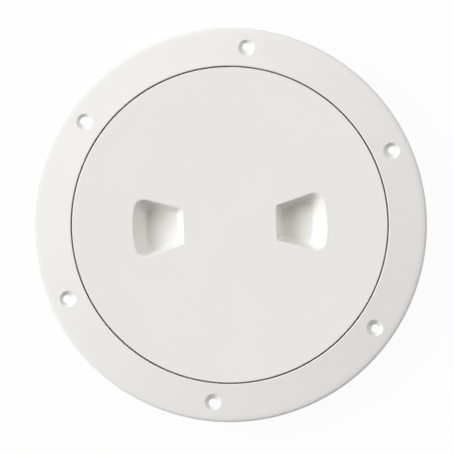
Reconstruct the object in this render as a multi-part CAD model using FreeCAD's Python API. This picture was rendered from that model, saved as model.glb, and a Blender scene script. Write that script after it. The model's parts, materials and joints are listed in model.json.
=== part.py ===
import FreeCAD, Part
import math
import os

# Deck inspection plate, moulded in white plastic. The deck ring is screwed down over a hole in
# the deck, the lid screws into it flush with its top, and a flat rubber ring under the lid's rim
# keeps the water out. Millimetres and degrees, +Z up. The origin is the middle of the deck face,
# where the flange lies on the deck, and +X runs through a screw hole.

# Opening and flange
clear_dia = 152.4          # way left between the thread ridges, 6 in
flange_width = 19.8        # from the well that the lid lies in to the rim
flange_height = 5.6        # above the deck beside the seam, where the top is highest
flange_fall = 9.0          # the top falls towards the rim, so that water runs off
rim_round = 2.0            # from the upright rim into the flange's top
rim_flats = 2              # flats that draw it
seam_gap = 0.7             # all round the lid

# Fixing holes
screw_count = 6
screw_inset = 9.525        # from the rim to the screws
screw_hole_dia = 4.4
screw_head_dia = 8.5
screw_head_angle = 82.0    # of the countersink

# Collar through the deck
ledge_width = 3.6          # the seal's seat, from the bore to the well's wall
shoulder_wall = 3.0
shoulder_taper = 5.0       # height over which the shoulder runs into the collar
neck_wall = 3.2
collar_depth = 18.0        # below the deck face

# Thread, the same ridge on both pieces
thread_starts = 2
thread_pitch = 5.0
thread_turns = 0.45        # that each ridge goes round, so it ends short of the next one
thread_height = 2.0
thread_base = 3.2
thread_crest = 1.4
thread_play = 0.45         # between a crest and the root that it faces
thread_inset = 0.9         # from the lid's lowest ridge to the skirt's foot

# Seal
seal_width = 5.1           # from the skirt that it is stretched over
seal_thickness = 2.4
seal_play = 0.15           # to the lid and to the ledge, before it is squeezed

# Lid
lid_wall = 3.0
lid_rim = 3.2              # thickness over the seal
skirt_wall = 3.0
skirt_recess = 3.0         # the skirt ends this much above the collar's foot
lid_angle = -22.4          # of the finger pockets' line to +X when the lid is shut
lid_ribs = 4
lid_rib_wall = 2.0
lid_rib_height = 4.0

# Finger pockets
pocket_count = 2
pocket_near = 24.2         # from the lid's middle to the straight edge
pocket_far = 49.7          # to the curved edge
pocket_mouth = 17.8        # width at the straight edge, before its corners are rounded
pocket_spread = 17.0       # of each side to the pocket's middle line
pocket_depth = 10.0
pocket_draft = 12.0        # of the side walls and the near wall
pocket_slope = 32.0        # of the far wall, from upright
pocket_near_corner = 2.0
pocket_far_corner = 5.0
pocket_floor_break = 1.0
pocket_edge_break = 0.4
pocket_wall = 2.5

# Radii, from the opening outwards and inwards
bore_radius = clear_dia / 2 + thread_height
well_radius = bore_radius + ledge_width
rim_radius = well_radius + flange_width
shoulder_radius = well_radius + shoulder_wall
neck_radius = bore_radius + neck_wall
screw_radius = rim_radius - screw_inset
lid_radius = well_radius - seam_gap
lid_crest_radius = bore_radius - thread_play
skirt_radius = lid_crest_radius - thread_height
skirt_bore_radius = skirt_radius - skirt_wall
seal_radius = skirt_radius + seal_play

# Heights, from the top downwards
rim_underside = flange_height - lid_rim
lid_underside = flange_height - lid_wall
seal_foot = rim_underside - seal_play - seal_thickness
ledge_height = seal_foot - seal_play
collar_foot = -collar_depth
skirt_foot = collar_foot + skirt_recess
pocket_floor = flange_height - pocket_depth
thread_lead = thread_pitch * thread_starts

sunk = 0.6                 # how far a fused feature reaches into the wall that carries it
up = FreeCAD.Vector(0, 0, 1)
middle = FreeCAD.Vector(0, 0, 0)


def point(x, z):
    return FreeCAD.Vector(x, 0, z)


def closed(corners):
    return Part.Face(Part.makePolygon(corners + corners[:1]))


def turned(corners):
    """The solid that an outline in the XZ plane makes in one turn round the plate's axis."""
    return closed([point(*corner) for corner in corners]).revolve(middle, up, 360)


def around(shape, count, first_angle=0.0):
    """Evenly spaced copies of a shape round the plate's axis."""
    copies = []
    for i in range(count):
        copy = shape.copy()
        copy.rotate(middle, up, first_angle + 360 * i / count)
        copies.append(copy)
    return copies


def ridges(wall_radius, crest_radius, low):
    """Thread ridges on a wall, whose middle lines climb from low, the first one from +X."""
    outwards = math.copysign(1, crest_radius - wall_radius)
    flank = (thread_base - thread_crest) / 2 / thread_height
    foot = wall_radius - outwards * sunk
    half_foot = thread_base / 2 + flank * sunk
    profile = Part.makePolygon([
        point(foot, -half_foot),
        point(crest_radius, -thread_crest / 2),
        point(crest_radius, thread_crest / 2),
        point(foot, half_foot),
        point(foot, -half_foot),
    ])
    helix = Part.makeHelix(thread_lead, thread_lead * thread_turns, crest_radius)
    ridge = Part.Wire(helix).makePipeShell([profile], True, True)
    if ridge.Volume < 0:
        ridge.reverse()
    ridge.translate(up * low)
    return around(ridge, thread_starts)


def flange_top(radius):
    """Height of the flange's sloping top."""
    return flange_height - (radius - well_radius) * math.tan(math.radians(flange_fall))


def rim_corners():
    """The rim's outline, upright from the deck and then round into the flange's top."""
    fall = math.radians(flange_fall)
    centre_x = rim_radius - rim_round
    centre_z = flange_top(centre_x) - rim_round / math.cos(fall)
    corners = [(rim_radius, 0)]
    for i in range(rim_flats + 1):
        turn = (math.pi / 2 - fall) * i / rim_flats
        corners.append((centre_x + rim_round * math.cos(turn), centre_z + rim_round * math.sin(turn)))
    return corners


def deck_ring():
    """Flange, well, ledge and threaded collar, one moulding."""
    body = turned(rim_corners() + [
        (well_radius, flange_height),
        (well_radius, ledge_height),
        (bore_radius, ledge_height),
        (bore_radius, collar_foot),
        (neck_radius, collar_foot),
        (neck_radius, -shoulder_taper),
        (shoulder_radius, 0),
    ])
    low = skirt_foot + thread_inset + thread_base / 2 + thread_pitch / 2
    body = body.fuse(ridges(bore_radius, clear_dia / 2, low))
    return body.cut(around(screw_hole(), screw_count)).Solids[0]


def screw_hole():
    """Clearance hole and countersink, which has its full size at the flange's top."""
    top = flange_top(screw_radius)
    half_angle = math.radians(screw_head_angle / 2)
    hole_radius = screw_hole_dia / 2
    head_radius = screw_head_dia / 2
    over = flange_height - top
    sink_depth = (head_radius - hole_radius) / math.tan(half_angle)
    hole = Part.makeCylinder(hole_radius, flange_height + 2 * sunk, point(screw_radius, -sunk))
    sink = Part.makeCone(
        hole_radius,
        head_radius + over * math.tan(half_angle),
        sink_depth + over,
        point(screw_radius, top - sink_depth),
    )
    return hole.fuse(sink)


def across(p):
    """The same point on the other side of the pocket's middle line."""
    return FreeCAD.Vector(p.x, -p.y, 0)


def pocket_outline(height, inwards=0.0, grow=0.0):
    """The outline of a finger pocket's walls at a height.

    It is moved inwards for a break, and outwards by the thickness that the walls grow to.
    """
    spread = math.radians(pocket_spread)
    draft = math.radians(pocket_draft)
    slope = math.radians(pocket_slope)
    below = flange_height - height
    side_step = below * math.tan(draft) - grow / math.cos(draft) + inwards
    far_step = below * math.tan(slope) - grow / math.cos(slope) + inwards
    near = pocket_near + side_step
    far = pocket_far - far_step
    along = FreeCAD.Vector(math.cos(spread), math.sin(spread), 0)
    outwards = FreeCAD.Vector(-math.sin(spread), math.cos(spread), 0)
    side = outwards.dot(FreeCAD.Vector(pocket_near, pocket_mouth / 2, 0)) - side_step

    near_corner = pocket_near_corner + grow
    middle_x = near + near_corner
    middle_y = (side - near_corner - outwards.x * middle_x) / outwards.y
    near_middle = FreeCAD.Vector(middle_x, middle_y, 0)
    near_bisector = (outwards - FreeCAD.Vector(1, 0, 0)).normalize()

    far_corner = pocket_far_corner + grow
    reach = math.sqrt((far - far_corner) ** 2 - (side - far_corner) ** 2)
    far_middle = outwards * (side - far_corner) + along * reach
    radial = FreeCAD.Vector(far_middle).normalize()
    far_bisector = (outwards + radial).normalize()

    near_end = FreeCAD.Vector(near, middle_y, 0)
    near_bend = near_middle + near_bisector * near_corner
    side_start = near_middle + outwards * near_corner
    side_end = far_middle + outwards * far_corner
    far_bend = far_middle + far_bisector * far_corner
    bow_end = far_middle + radial * far_corner
    outline = Part.Wire([
        Part.Arc(near_end, near_bend, side_start).toShape(),
        Part.LineSegment(side_start, side_end).toShape(),
        Part.Arc(side_end, far_bend, bow_end).toShape(),
        Part.Arc(bow_end, FreeCAD.Vector(far, 0, 0), across(bow_end)).toShape(),
        Part.Arc(across(bow_end), across(far_bend), across(side_end)).toShape(),
        Part.LineSegment(across(side_end), across(side_start)).toShape(),
        Part.Arc(across(side_start), across(near_bend), across(near_end)).toShape(),
        Part.LineSegment(across(near_end), near_end).toShape(),
    ])
    outline.translate(up * height)
    return outline


def pocket_room():
    """What a finger pocket leaves free, with its floor's edge and its mouth broken."""
    return Part.makeLoft([
        pocket_outline(pocket_floor, pocket_floor_break),
        pocket_outline(pocket_floor + pocket_floor_break),
        pocket_outline(flange_height - pocket_edge_break),
        pocket_outline(flange_height + sunk, -pocket_edge_break - sunk),
    ], True, True)


def pocket_cup():
    """The wall round a finger pocket, under the lid, still solid."""
    return Part.makeLoft([
        pocket_outline(pocket_floor - pocket_wall, 0, pocket_wall),
        pocket_outline(lid_underside + lid_wall / 2, 0, pocket_wall),
    ], True, True)


def screw_lid():
    """Disc, finger pockets, ribs and threaded skirt, one moulding."""
    body = turned([
        (0, flange_height),
        (0, lid_underside),
        (skirt_bore_radius, lid_underside),
        (skirt_bore_radius, skirt_foot),
        (skirt_radius, skirt_foot),
        (skirt_radius, rim_underside),
        (lid_radius, rim_underside),
        (lid_radius, flange_height),
    ])
    rib = Part.makeBox(skirt_bore_radius + sunk, lid_rib_wall, lid_rib_height + lid_wall / 2)
    rib.translate(FreeCAD.Vector(0, -lid_rib_wall / 2, lid_underside - lid_rib_height))
    added = around(rib, lid_ribs, lid_angle + 180 / lid_ribs)
    added += around(pocket_cup(), pocket_count, lid_angle)
    low = skirt_foot + thread_inset + thread_base / 2
    added += ridges(skirt_radius, lid_crest_radius, low)
    body = body.fuse(added)
    return body.cut(around(pocket_room(), pocket_count, lid_angle)).Solids[0]


def lid_seal():
    """Flat ring, as it lies before the lid squeezes it."""
    return turned([
        (seal_radius, seal_foot),
        (seal_radius + seal_width, seal_foot),
        (seal_radius + seal_width, seal_foot + seal_thickness),
        (seal_radius, seal_foot + seal_thickness),
    ])


os.makedirs("parts", exist_ok=True)
deck_ring().exportStep("parts/deck_ring.step")
screw_lid().exportStep("parts/screw_lid.step")
lid_seal().exportStep("parts/lid_seal.step")
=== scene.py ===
import json
import math

import bmesh
import bpy
from mathutils import Matrix, Vector


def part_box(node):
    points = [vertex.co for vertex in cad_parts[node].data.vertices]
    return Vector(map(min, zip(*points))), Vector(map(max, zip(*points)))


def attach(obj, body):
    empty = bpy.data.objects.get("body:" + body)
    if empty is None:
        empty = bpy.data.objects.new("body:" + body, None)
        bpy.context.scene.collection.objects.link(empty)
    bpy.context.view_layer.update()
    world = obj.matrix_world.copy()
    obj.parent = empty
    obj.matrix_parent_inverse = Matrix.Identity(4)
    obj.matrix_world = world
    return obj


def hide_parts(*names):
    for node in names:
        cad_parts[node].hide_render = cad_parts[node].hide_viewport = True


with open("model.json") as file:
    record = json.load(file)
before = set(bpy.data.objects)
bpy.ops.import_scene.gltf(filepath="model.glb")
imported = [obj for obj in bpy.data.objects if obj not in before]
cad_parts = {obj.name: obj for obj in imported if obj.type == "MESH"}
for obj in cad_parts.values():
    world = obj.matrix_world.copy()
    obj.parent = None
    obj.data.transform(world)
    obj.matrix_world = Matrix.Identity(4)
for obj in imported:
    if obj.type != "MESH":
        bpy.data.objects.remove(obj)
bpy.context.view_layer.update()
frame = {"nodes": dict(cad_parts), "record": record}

# Deck ring
# The ring that is screwed down on the deck: one injection moulding in white ABS, with a low
# flange that falls to a rounded rim, six countersunk holes, the well that the lid lies in, and a
# collar with two thread ridges that goes down through the deck. Lengths are in millimetres.

MM = 0.001


def from_frame(metres):
    """A place in the frame, in millimetres and freed of its rounding errors."""
    return round(metres / MM, 3)


ring_low, ring_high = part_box("deck_ring")
mounts = {mount["name"]: mount["dims"] for mount in frame["record"]["mounts"]}

# Radii
RIM = from_frame(ring_high[0])
SHOULDER = 84.8
WELL = 81.8
NECK = mounts["collar"]["r_mm"]
BORE = 78.2

# Heights over the deck, the flange's beside the seam
FLANGE_TOP = from_frame(ring_high[2])
LEDGE = -0.3
SHOULDER_FOOT = -5.0
COLLAR_FOOT = from_frame(ring_low[2])

# The fall of the flange, and of the band that is its outermost strip
FLANGE_FALL = math.radians(9)
BAND = 2.4
BAND_FALL = math.radians(18)

# Rounds
RIM_ROUND = 1.8
BAND_ROUND = 1.0
RIM_FOOT_ROUND = 0.3
WELL_ROUND = 0.55
LEDGE_ROUND = 0.3
COLLAR_FOOT_ROUND = 0.5
NECK_ROUND = 2.0

SCREWS = mounts["screw_holes"]["count"]
SCREW_CIRCLE = mounts["screw_holes"]["pcd_mm"] / 2
SCREW_HOLE = mounts["screw_holes"]["hole_r_mm"]
SCREW_HEAD = 4.25
SCREW_HEAD_SLOPE = math.radians(41)

THREAD_STARTS = 2
THREAD_LEAD = 10.0
THREAD_TURN = math.radians(162)
THREAD_BASE = 3.2
THREAD_CREST = 1.4
THREAD_HEIGHT = 2.0
RING_THREAD_LOW = -10.0

SUNK = 0.6                   # how far a joined form reaches into its wall
HAIR = 0.02                  # a difference that counts as none
STEPS = 240                  # in a full turn round the plate
THREAD_STEPS = 81
HOLE_STEPS = 64
TRUE_CORNER = math.radians(28)  # smaller turns are shaded smooth


def flange_top(radius):
    """The height of the flange's top at a radius."""
    return FLANGE_TOP - (radius - WELL) * math.tan(FLANGE_FALL)


def outline_mesh(corners):
    """A bmesh with a closed outline in the XZ plane."""
    bm = bmesh.new()
    verts = [bm.verts.new((x, 0, z)) for x, z in corners]
    for i, vert in enumerate(verts):
        bm.edges.new((verts[i - 1], vert))
    return bm


def turned(corners, steps=STEPS, axis_x=0.0):
    """The closed form that an outline makes in one turn round an upright axis."""
    merge = 0.001
    bm = outline_mesh(corners)
    bmesh.ops.spin(
        bm, geom=bm.verts[:] + bm.edges[:], cent=(axis_x, 0, 0), axis=(0, 0, 1),
        angle=math.tau, steps=steps, use_merge=True,
    )
    bmesh.ops.remove_doubles(bm, verts=bm.verts, dist=merge)
    bmesh.ops.dissolve_degenerate(bm, edges=bm.edges, dist=merge)
    bmesh.ops.recalc_face_normals(bm, faces=bm.faces)
    return bm


def turned_by(bm, angle, axis_x=0.0):
    """The same bmesh, turned round an upright axis."""
    turn = Matrix.Rotation(angle, 3, "Z")
    bmesh.ops.rotate(bm, verts=bm.verts, cent=(axis_x, 0, 0), matrix=turn)
    return bm


def round_edge(bm, radius, height, size, segments):
    """Rounds the edge that runs round the plate at a radius and height."""

    def lies_there(vert):
        return abs(vert.co.xy.length - radius) < HAIR and abs(vert.co.z - height) < HAIR

    bmesh.ops.bevel(
        bm, geom=[edge for edge in bm.edges if all(lies_there(vert) for vert in edge.verts)],
        offset=size, offset_type="OFFSET", segments=segments, profile=0.5, affect="EDGES",
        material=-1,
    )


def thread_ridge(wall, crest, low):
    """One ridge of the thread, with square ends, that climbs from low."""
    flank = (THREAD_BASE - THREAD_CREST) / 2 / THREAD_HEIGHT
    foot = wall + math.copysign(SUNK, wall - crest)
    half_foot = THREAD_BASE / 2 + flank * SUNK
    bm = outline_mesh([
        (foot, low - half_foot),
        (crest, low - THREAD_CREST / 2),
        (crest, low + THREAD_CREST / 2),
        (foot, low + half_foot),
    ])
    bmesh.ops.contextual_create(bm, geom=bm.edges)
    climb = THREAD_LEAD * THREAD_TURN / math.tau
    bmesh.ops.spin(
        bm, geom=bm.faces[:], cent=(0, 0, 0), axis=(0, 0, 1), angle=THREAD_TURN,
        steps=THREAD_STEPS, dvec=(0, 0, climb / THREAD_STEPS),
    )
    bmesh.ops.recalc_face_normals(bm, faces=bm.faces)
    return bm


def as_object(bm, name):
    """An object with the bmesh, from millimetres to metres."""
    bmesh.ops.scale(bm, vec=(MM, MM, MM), verts=bm.verts)
    mesh = bpy.data.meshes.new(name)
    bm.to_mesh(mesh)
    bm.free()
    made = bpy.data.objects.new(name, mesh)
    bpy.context.scene.collection.objects.link(made)
    return made


def combine(body, tools, operation):
    """Joins forms to a body or cuts them out of it, for good."""
    for tool in tools:
        joint = body.modifiers.new(operation, "BOOLEAN")
        joint.operation = operation
        joint.solver = "EXACT"
        joint.object = tool
    bpy.context.view_layer.update()
    evaluated = body.evaluated_get(bpy.context.evaluated_depsgraph_get())
    finished = bpy.data.meshes.new_from_object(evaluated)
    body.modifiers.clear()
    body.data = finished
    for tool in tools:
        bpy.data.objects.remove(tool)


def smooth(piece):
    """Smooth shading that follows the large faces and breaks at true corners."""
    for face in piece.data.polygons:
        face.use_smooth = True
    piece.data.set_sharp_from_angle(angle=TRUE_CORNER)
    weighted = piece.modifiers.new("even_shading", "WEIGHTED_NORMAL")
    weighted.keep_sharp = True


band_edge = RIM - BAND
band_top = flange_top(band_edge)
rim_top = band_top - BAND * math.tan(BAND_FALL)
ring_form = turned([
    (RIM, 0),
    (RIM, rim_top),
    (band_edge, band_top),
    (WELL, FLANGE_TOP),
    (WELL, LEDGE),
    (BORE, LEDGE),
    (BORE, COLLAR_FOOT),
    (NECK, COLLAR_FOOT),
    (NECK, SHOULDER_FOOT),
    (SHOULDER, 0),
])
# A bevel's size is how far from the corner its arc starts.
corner_to_round = RIM_ROUND * math.tan((math.pi / 2 - BAND_FALL) / 2)
round_edge(ring_form, band_edge, band_top, BAND_ROUND, 6)
round_edge(ring_form, RIM, rim_top, corner_to_round, 10)
round_edge(ring_form, RIM, 0, RIM_FOOT_ROUND, 2)
round_edge(ring_form, WELL, FLANGE_TOP, WELL_ROUND, 4)
round_edge(ring_form, BORE, LEDGE, LEDGE_ROUND, 3)
round_edge(ring_form, BORE, COLLAR_FOOT, COLLAR_FOOT_ROUND, 3)
round_edge(ring_form, NECK, COLLAR_FOOT, COLLAR_FOOT_ROUND, 3)
round_edge(ring_form, NECK, SHOULDER_FOOT, NECK_ROUND, 5)
deck_ring = as_object(ring_form, "deck_ring_moulding")

ridges = []
for i in range(THREAD_STARTS):
    ridge = thread_ridge(BORE, BORE - THREAD_HEIGHT, RING_THREAD_LOW)
    turned_by(ridge, i * math.tau / THREAD_STARTS)
    ridges.append(as_object(ridge, "ring_ridge"))
combine(deck_ring, ridges, "UNION")

under = 1.0
over = 2.0
sink_top = flange_top(SCREW_CIRCLE)
sink_foot = sink_top - (SCREW_HEAD - SCREW_HOLE) / math.tan(SCREW_HEAD_SLOPE)
screw_rooms = []
for i in range(SCREWS):
    room = turned([
        (SCREW_CIRCLE, -under),
        (SCREW_CIRCLE + SCREW_HOLE, -under),
        (SCREW_CIRCLE + SCREW_HOLE, sink_foot),
        (SCREW_CIRCLE + SCREW_HEAD + over * math.tan(SCREW_HEAD_SLOPE), sink_top + over),
        (SCREW_CIRCLE, sink_top + over),
    ], HOLE_STEPS, SCREW_CIRCLE)
    turned_by(room, math.pi / HOLE_STEPS, SCREW_CIRCLE)
    turned_by(room, i * math.tau / SCREWS)
    screw_rooms.append(as_object(room, "screw_room"))
combine(deck_ring, screw_rooms, "DIFFERENCE")
smooth(deck_ring)


def linear(hex_colour):
    """Linear RGBA from an sRGB hex value."""
    parts = [int(hex_colour[i:i + 2], 16) / 255 for i in (1, 3, 5)]
    return [c / 12.92 if c <= 0.04045 else ((c + 0.055) / 1.055) ** 2.4 for c in parts] + [1.0]


def add_node(owner, kind, inputs=None, **settings):
    """Adds a node. An input is given a value, or linked where it is given another's output."""
    node = owner.node_tree.nodes.new(kind)
    for name, value in settings.items():
        setattr(node, name, value)
    for name, value in (inputs or {}).items():
        if isinstance(value, bpy.types.NodeSocket):
            owner.node_tree.links.new(value, node.inputs[name])
        else:
            node.inputs[name].default_value = value
    return node


def new_material(name):
    """A material without nodes."""
    material = bpy.data.materials.new(name)
    material.use_nodes = True
    material.node_tree.nodes.clear()
    return material


def moulded_abs(name, pale, shaded, roughness, grain_size, grain_depth):
    """White ABS with the grain that the mould gives it, and a tone that drifts faintly.

    The grain's size and depth are in millimetres.
    """
    drift_size = 35.0
    material = new_material(name)
    place = add_node(material, "ShaderNodeTexCoord").outputs["Object"]
    drift = add_node(material, "ShaderNodeTexNoise", {
        "Vector": place, "Scale": 1 / (drift_size * MM), "Detail": 2.0,
    })
    tone = add_node(
        material, "ShaderNodeMix", {0: drift.outputs["Fac"], 6: linear(pale), 7: linear(shaded)},
        data_type="RGBA",
    )
    grain = add_node(material, "ShaderNodeTexNoise", {
        "Vector": place, "Scale": 1 / (grain_size * MM), "Detail": 3.0, "Roughness": 0.6,
    })
    bump = add_node(material, "ShaderNodeBump", {
        "Height": grain.outputs["Fac"], "Strength": 1.0, "Distance": grain_depth * MM,
    })
    shader = add_node(material, "ShaderNodeBsdfPrincipled", {
        "Base Color": tone.outputs[2], "Normal": bump.outputs["Normal"],
        "Roughness": roughness, "IOR": 1.53, "Specular IOR Level": 0.3,
    })
    add_node(material, "ShaderNodeOutputMaterial", {"Surface": shader.outputs["BSDF"]})
    return material


# The satin of a spark-eroded mould, which leaves only a broad weak sheen. The real grain is about
# 0.1 mm wide, too fine to show, so it is drawn 0.45 mm wide.
grained_abs = moulded_abs(
    "white ABS, moulded grain", pale="#EBEAE6", shaded="#E8E7E3",
    roughness=0.7, grain_size=0.45, grain_depth=0.012,
)
deck_ring.data.materials.clear()
deck_ring.data.materials.append(grained_abs)
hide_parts("deck_ring")
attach(deck_ring, "ring")

# Screw lid
# The flush lid, one moulding in the same ABS: a flat disc with two finger pockets, whose walls
# hang below it as cups, ribs on its underside, and a skirt with the two ridges of its thread.

lid_low, lid_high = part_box("screw_lid")

# Radii
LID = from_frame(lid_high[0])
SKIRT = 75.75
SKIRT_BORE = 72.75

# Heights
LID_UNDERSIDE = 2.6
LID_RIM_UNDERSIDE = 2.4
SKIRT_FOOT = from_frame(lid_low[2])
LID_THREAD_LOW = -12.5

LID_ANGLE = math.radians(-22.4)  # from the first screw hole to the first pocket
LID_ROUND = 0.45
LID_RIM_ROUND = 0.3
SKIRT_FOOT_ROUND = 0.5
SKIRT_CORNER_ROUND = 1.0

RIBS = 4
RIB_WALL = 2.0
RIB_HEIGHT = 4.0

# The pockets, near and far from the lid's middle
POCKETS = 2
POCKET_NEAR = 24.2
POCKET_FAR = 49.7
POCKET_MOUTH = 17.8
POCKET_DEPTH = 10.0
POCKET_WALL = 2.5
POCKET_SPREAD = math.radians(17)
POCKET_DRAFT = math.radians(12)
POCKET_SLOPE = math.radians(32)
POCKET_NEAR_CORNER = 2.0
POCKET_FAR_CORNER = 5.0
POCKET_FLOOR_ROUND = 0.9
POCKET_EDGE_ROUND = 0.6


def arc(middle, radius, start, end, steps):
    """Points along an arc, ends included."""
    angles = [start + (end - start) * i / steps for i in range(steps + 1)]
    return [middle + Vector((math.cos(a), math.sin(a))) * radius for a in angles]


def pocket_outline(below, inwards=0.0, grow=0.0):
    """The pocket's outline at a depth below the lid's top.

    It is moved inwards for a round, and outwards by the thickness that the walls grow to.
    """
    side_step = below * math.tan(POCKET_DRAFT) - grow / math.cos(POCKET_DRAFT) + inwards
    far = POCKET_FAR - below * math.tan(POCKET_SLOPE) + grow / math.cos(POCKET_SLOPE) - inwards
    outwards = Vector((-math.sin(POCKET_SPREAD), math.cos(POCKET_SPREAD)))
    along = Vector((math.cos(POCKET_SPREAD), math.sin(POCKET_SPREAD)))
    side = outwards.dot(Vector((POCKET_NEAR, POCKET_MOUTH / 2))) - side_step

    near_corner = POCKET_NEAR_CORNER + grow
    near_x = POCKET_NEAR + side_step + near_corner
    near_middle = Vector((near_x, (side - near_corner - outwards.x * near_x) / outwards.y))
    far_corner = POCKET_FAR_CORNER + grow
    reach = math.sqrt((far - far_corner) ** 2 - (side - far_corner) ** 2)
    far_middle = outwards * (side - far_corner) + along * reach

    side_angle = math.pi / 2 + POCKET_SPREAD
    far_angle = math.atan2(far_middle.y, far_middle.x)
    half = arc(near_middle, near_corner, math.pi, side_angle, 8)
    half += arc(far_middle, far_corner, side_angle, far_angle, 10)
    bow = arc(Vector((0, 0)), far, far_angle, -far_angle, 14)[1:-1]
    return half + bow + [Vector((p.x, -p.y)) for p in reversed(half)]


def lofted(levels):
    """The closed form through outlines at rising heights, each given as depth and points."""
    bm = bmesh.new()
    rings = []
    for below, points in levels:
        verts = [bm.verts.new((p.x, p.y, FLANGE_TOP - below)) for p in points]
        rings.append([bm.edges.new((verts[i - 1], vert)) for i, vert in enumerate(verts)])
    for ring, above in zip(rings, rings[1:]):
        bmesh.ops.bridge_loops(bm, edges=ring + above)
    for end in (rings[0], rings[-1]):
        bmesh.ops.contextual_create(bm, geom=end)
    bmesh.ops.recalc_face_normals(bm, faces=bm.faces)
    return bm


def pocket_room():
    """What a pocket leaves free: rounded floor edge, drafted walls, rounded mouth.

    The mouth's arc stops short of level, so that it has no strip in the lid's top.
    """
    over = 1.0
    levels = []
    for degrees in range(0, 91, 15):
        turn = math.radians(degrees)
        below = POCKET_DEPTH - POCKET_FLOOR_ROUND * (1 - math.cos(turn))
        levels.append((below, pocket_outline(below, POCKET_FLOOR_ROUND * (1 - math.sin(turn)))))
    for degrees in range(0, 81, 16):
        turn = math.radians(degrees)
        below = POCKET_EDGE_ROUND * (1 - math.sin(turn))
        levels.append((below, pocket_outline(below, -POCKET_EDGE_ROUND * (1 - math.cos(turn)))))
    levels.append((-over, pocket_outline(0, -POCKET_EDGE_ROUND)))
    return lofted(levels)


def pocket_cup():
    """The wall round a pocket, still solid, with a rounded foot."""
    in_disc = 1.0
    levels = []
    for degrees in range(0, 91, 15):
        turn = math.radians(degrees)
        below = POCKET_DEPTH + POCKET_WALL * math.cos(turn)
        inwards = POCKET_WALL * (1 - math.sin(turn))
        levels.append((below, pocket_outline(below, inwards, POCKET_WALL)))
    below = FLANGE_TOP - LID_UNDERSIDE - in_disc
    levels.append((below, pocket_outline(below, 0, POCKET_WALL)))
    return lofted(levels)


def crossing_rib():
    """A rib across the lid's underside, from one side of the skirt to the other."""
    in_disc = 1.5
    bm = bmesh.new()
    bmesh.ops.create_cube(bm, size=1)
    bmesh.ops.scale(
        bm, vec=(2 * SKIRT_BORE + SUNK, RIB_WALL, RIB_HEIGHT + in_disc), verts=bm.verts,
    )
    bmesh.ops.translate(
        bm, vec=(0, 0, LID_UNDERSIDE + (in_disc - RIB_HEIGHT) / 2), verts=bm.verts,
    )
    return bm


lid_form = turned([
    (0, FLANGE_TOP),
    (0, LID_UNDERSIDE),
    (SKIRT_BORE, LID_UNDERSIDE),
    (SKIRT_BORE, SKIRT_FOOT),
    (SKIRT, SKIRT_FOOT),
    (SKIRT, LID_RIM_UNDERSIDE),
    (LID, LID_RIM_UNDERSIDE),
    (LID, FLANGE_TOP),
])
round_edge(lid_form, LID, FLANGE_TOP, LID_ROUND, 5)
round_edge(lid_form, LID, LID_RIM_UNDERSIDE, LID_RIM_ROUND, 3)
round_edge(lid_form, SKIRT, SKIRT_FOOT, SKIRT_FOOT_ROUND, 3)
round_edge(lid_form, SKIRT_BORE, SKIRT_FOOT, SKIRT_FOOT_ROUND, 3)
round_edge(lid_form, SKIRT_BORE, LID_UNDERSIDE, SKIRT_CORNER_ROUND, 4)
screw_lid = as_object(lid_form, "screw_lid_moulding")

additions = []
rooms = []
for i in range(THREAD_STARTS):
    ridge = thread_ridge(SKIRT, SKIRT + THREAD_HEIGHT, LID_THREAD_LOW)
    turned_by(ridge, i * math.tau / THREAD_STARTS)
    additions.append(as_object(ridge, "lid_ridge"))
for i in range(POCKETS):
    angle = LID_ANGLE + i * math.tau / POCKETS
    additions.append(as_object(turned_by(pocket_cup(), angle), "pocket_cup"))
    rooms.append(as_object(turned_by(pocket_room(), angle), "pocket_room"))
for i in range(RIBS // 2):
    rib = turned_by(crossing_rib(), LID_ANGLE + math.pi / RIBS + i * math.tau / RIBS)
    additions.append(as_object(rib, "rib"))
combine(screw_lid, additions, "UNION")
combine(screw_lid, rooms, "DIFFERENCE")
smooth(screw_lid)

# The pockets are made by a polished part of the mould, so they are glossier than the rest. In
# place of a grain they have faint swells, a few millimetres wide.
polished_abs = moulded_abs(
    "white ABS, polished pocket", pale="#EBEAE6", shaded="#E9E8E4",
    roughness=0.25, grain_size=3.0, grain_depth=0.01,
)
screw_lid.data.materials.clear()
screw_lid.data.materials.append(grained_abs)
screw_lid.data.materials.append(polished_abs)
for face in screw_lid.data.polygons:
    middle = face.center / MM
    sunk_in = middle.z < FLANGE_TOP - HAIR and middle.xy.length < SKIRT_BORE
    if sunk_in and face.normal.z > HAIR:
        face.material_index = 1
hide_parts("screw_lid")
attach(screw_lid, "lid")

# Lid seal
# A flat ring of black EPDM rubber, stretched over the skirt under the lid's rim. It is cut from
# sheet, so its faces are matt, with fine grinding marks of about a quarter of a millimetre.

MARKS_SIZE = 0.25
MARKS_DEPTH = 0.02

rubber = new_material("black EPDM rubber, cut from sheet")
place = add_node(rubber, "ShaderNodeTexCoord").outputs["Object"]
marks = add_node(rubber, "ShaderNodeTexNoise", {
    "Vector": place, "Scale": 1 / (MARKS_SIZE * MM), "Detail": 2.0,
})
bump = add_node(rubber, "ShaderNodeBump", {
    "Height": marks.outputs["Fac"], "Strength": 1.0, "Distance": MARKS_DEPTH * MM,
})
shader = add_node(rubber, "ShaderNodeBsdfPrincipled", {
    "Base Color": linear("#26262A"), "Normal": bump.outputs["Normal"],
    "Roughness": 0.75, "IOR": 1.52,
})
add_node(rubber, "ShaderNodeOutputMaterial", {"Surface": shader.outputs["BSDF"]})
for slot in frame["nodes"]["lid_seal"].material_slots:
    slot.material = rubber

# Camera
# Straight above the plate with a long lens, rolled so that the screw holes and the pockets lie as
# in the photograph.

# Pixels of the photograph, the plate's middle from its top left
PHOTO_WIDTH = 454
PLATE_WIDTH = 394.3
PLATE_MIDDLE = (229.8, 224.9)

MM_A_PIXEL = 2 * RIM / PLATE_WIDTH
ROLL = math.radians(-24.6)

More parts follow.
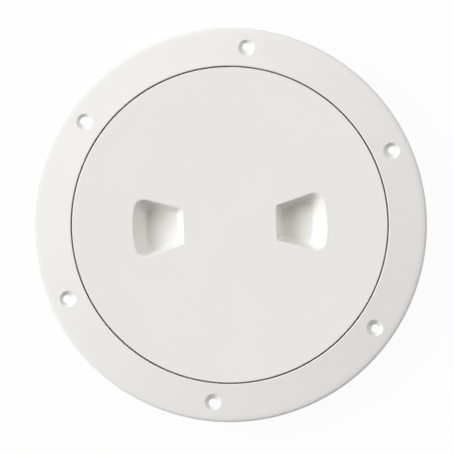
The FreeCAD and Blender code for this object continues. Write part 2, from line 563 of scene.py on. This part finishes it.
camera = bpy.data.objects.new("camera", bpy.data.cameras.new("camera"))
bpy.context.scene.collection.objects.link(camera)
bpy.context.scene.camera = camera
camera.data.lens = 300
camera.data.sensor_width = 36
distance = PHOTO_WIDTH * MM_A_PIXEL * camera.data.lens / camera.data.sensor_width
to_right = (PHOTO_WIDTH / 2 - PLATE_MIDDLE[0]) * MM_A_PIXEL
to_top = (PLATE_MIDDLE[1] - PHOTO_WIDTH / 2) * MM_A_PIXEL
aside = Vector((to_right, to_top, 0))
aside.rotate(Matrix.Rotation(ROLL, 3, "Z"))
camera.location = (aside + Vector((0, 0, distance))) * MM
camera.rotation_euler = (0, 0, ROLL)
camera.data.clip_start = 0.05
camera.data.clip_end = 20

# Lights and floor
# A wide soft light from the left, low enough to shade the flange's slope, weaker ones from the
# top and the right that open the pockets' shadows, and a dim pale surround. The floor is white
# to the camera and keeps a trace of the shadow.

WHITE = linear("#FFFFFF")
SURROUND_LIGHT = 0.21
FLOOR_GLOW = 0.95            # the share of the floor's look that no shadow reaches
FLOOR_REACH = 3000
FLOOR_GAP = 0.05             # under the collar's foot


def soft_light(name, azimuth, height, strength, width):
    """A far light, its angles in degrees.

    The azimuth is the light's direction in the photograph, anticlockwise from the right.
    """
    lamp = bpy.data.objects.new(name, bpy.data.lights.new(name, "SUN"))
    bpy.context.scene.collection.objects.link(lamp)
    lamp.data.energy = strength
    lamp.data.angle = math.radians(width)
    turn = math.radians(azimuth) + ROLL
    rise = math.radians(height)
    level = math.cos(rise)
    towards = Vector((math.cos(turn) * level, math.sin(turn) * level, math.sin(rise)))
    lamp.rotation_euler = towards.to_track_quat("Z", "Y").to_euler()


def seen_directly(owner):
    """An output that is 1 for rays that look at the background, also through gloss or glass."""
    rays = add_node(owner, "ShaderNodeLightPath").outputs
    clear = add_node(
        owner, "ShaderNodeMath", {0: rays["Is Camera Ray"], 1: rays["Is Transmission Ray"]},
        operation="MAXIMUM",
    )
    either = add_node(
        owner, "ShaderNodeMath", {0: clear.outputs[0], 1: rays["Is Glossy Ray"]},
        operation="MAXIMUM",
    )
    return either.outputs[0]


soft_light("key_light", azimuth=168, height=34, strength=2.92, width=34)
soft_light("top_light", azimuth=80, height=45, strength=0.7, width=30)
soft_light("fill_light", azimuth=10, height=22, strength=0.6, width=30)

world = bpy.data.worlds.new("surround")
bpy.context.scene.world = world
world.use_nodes = True
world.node_tree.nodes.clear()
dim = add_node(world, "ShaderNodeBackground", {"Color": WHITE, "Strength": SURROUND_LIGHT})
plain = add_node(world, "ShaderNodeBackground", {"Color": WHITE, "Strength": 1.0})
surround = add_node(world, "ShaderNodeMixShader", {
    0: seen_directly(world), 1: dim.outputs["Background"], 2: plain.outputs["Background"],
})
add_node(world, "ShaderNodeOutputWorld", {"Surface": surround.outputs["Shader"]})

# Uncoated white paper: evenly matt, and a little darker than the light that falls on it.
paper = new_material("white paper, uncoated")
diffuse = add_node(paper, "ShaderNodeBsdfDiffuse", {"Color": linear("#EDEDED")})
glow = add_node(paper, "ShaderNodeEmission", {"Color": WHITE, "Strength": 1.0})
share = add_node(
    paper, "ShaderNodeMath", {0: seen_directly(paper), 1: FLOOR_GLOW}, operation="MULTIPLY",
)
mixed = add_node(paper, "ShaderNodeMixShader", {
    0: share.outputs[0], 1: diffuse.outputs["BSDF"], 2: glow.outputs["Emission"],
})
add_node(paper, "ShaderNodeOutputMaterial", {"Surface": mixed.outputs["Shader"]})

floor_form = bmesh.new()
bmesh.ops.create_grid(floor_form, x_segments=1, y_segments=1, size=FLOOR_REACH)
bmesh.ops.translate(floor_form, vec=(0, 0, COLLAR_FOOT - FLOOR_GAP), verts=floor_form.verts)
floor = as_object(floor_form, "floor")
floor.data.materials.append(paper)

bpy.context.scene.view_settings.view_transform = "Standard"
